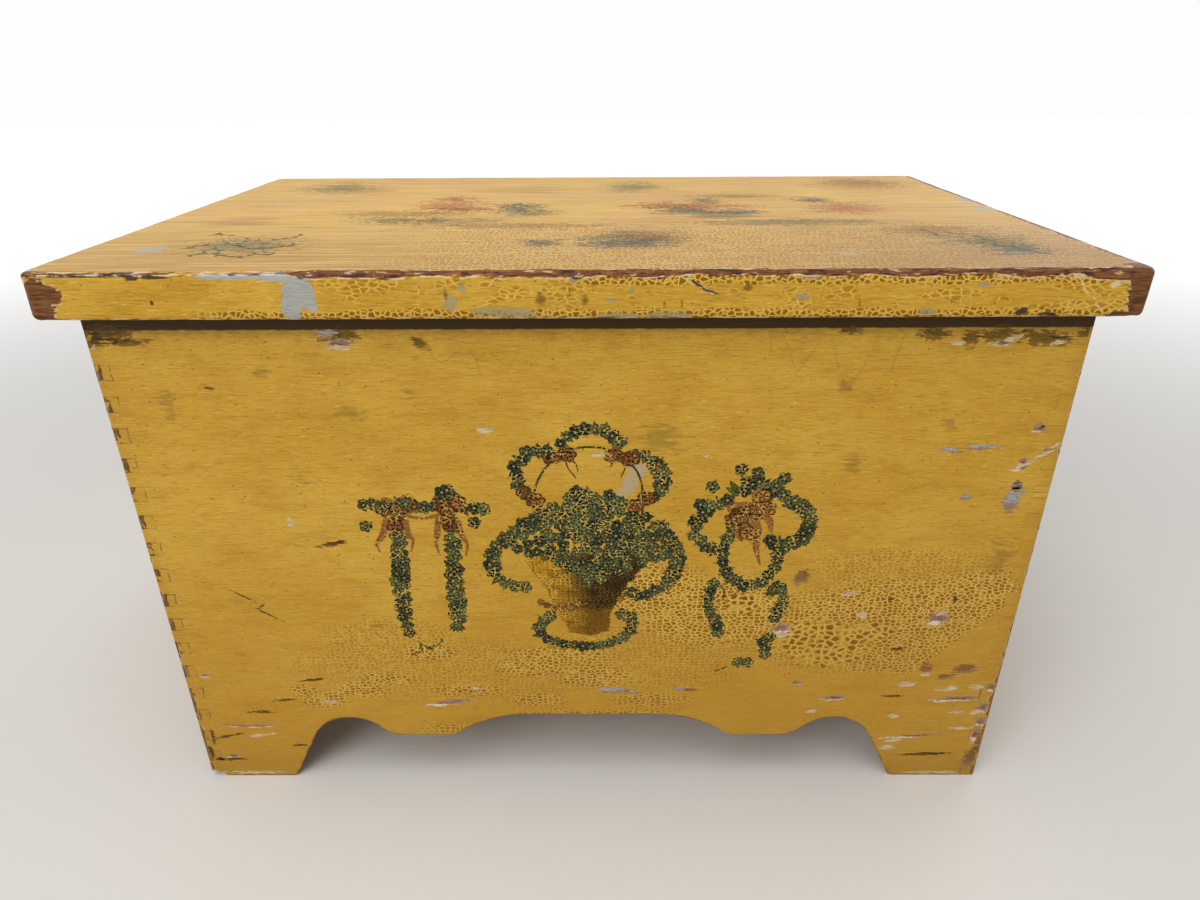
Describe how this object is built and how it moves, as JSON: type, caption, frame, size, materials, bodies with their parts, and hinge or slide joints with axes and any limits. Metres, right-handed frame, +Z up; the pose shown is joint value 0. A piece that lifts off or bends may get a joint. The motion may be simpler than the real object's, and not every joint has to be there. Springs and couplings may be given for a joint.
{
  "type": "toy chest",
  "caption": "Low box-jointed storage chest on bracket feet with a scalloped front apron, a raised plank floor and a thick overhanging lid hinged at the back.",
  "frame": {"origin": "on the floor, under the middle of the whole chest", "axes": "+X to the right along the front, +Y from the front to the hinged back, +Z up"},
  "size_m": [0.572, 0.3692, 0.3638],
  "materials": {
    "box_paint": "satin aged paint",
    "lid_paint": "satin aged paint",
    "bare_pine": "matte aged pine",
    "hinge_steel": "dulled steel",
    "fastener_steel": "dulled steel"
  },
  "bodies": {
    "chest": {"front_board": "box_paint", "back_board": "box_paint", "left_end_board": "box_paint", "right_end_board": "box_paint", "front_floor_cleat": "bare_pine", "rear_floor_cleat": "bare_pine", "left_floor_cleat": "bare_pine", "right_floor_cleat": "bare_pine", "floor_front_plank": "bare_pine", "floor_rear_plank": "bare_pine", "cleat_nails": "fastener_steel", "floor_nails": "fastener_steel", "left_hinge_box_leaf": "hinge_steel", "left_hinge_pin": "hinge_steel", "right_hinge_box_leaf": "hinge_steel", "right_hinge_pin": "hinge_steel", "hinge_box_screws": "hinge_steel"},
    "lid": {"lid_front_plank": "lid_paint", "lid_rear_plank": "lid_paint", "left_lid_batten": "bare_pine", "right_lid_batten": "bare_pine", "batten_nails": "fastener_steel", "left_hinge_lid_leaf": "hinge_steel", "right_hinge_lid_leaf": "hinge_steel", "hinge_lid_screws": "hinge_steel"}
  },
  "joints": [
    {"name": "lid_hinge", "type": "hinge", "parent": "chest", "child": "lid", "pos_m": [0, 0.1819, 0.33825], "axis": [-1, 0, 0], "range_deg": [0, 180]}
  ]
}
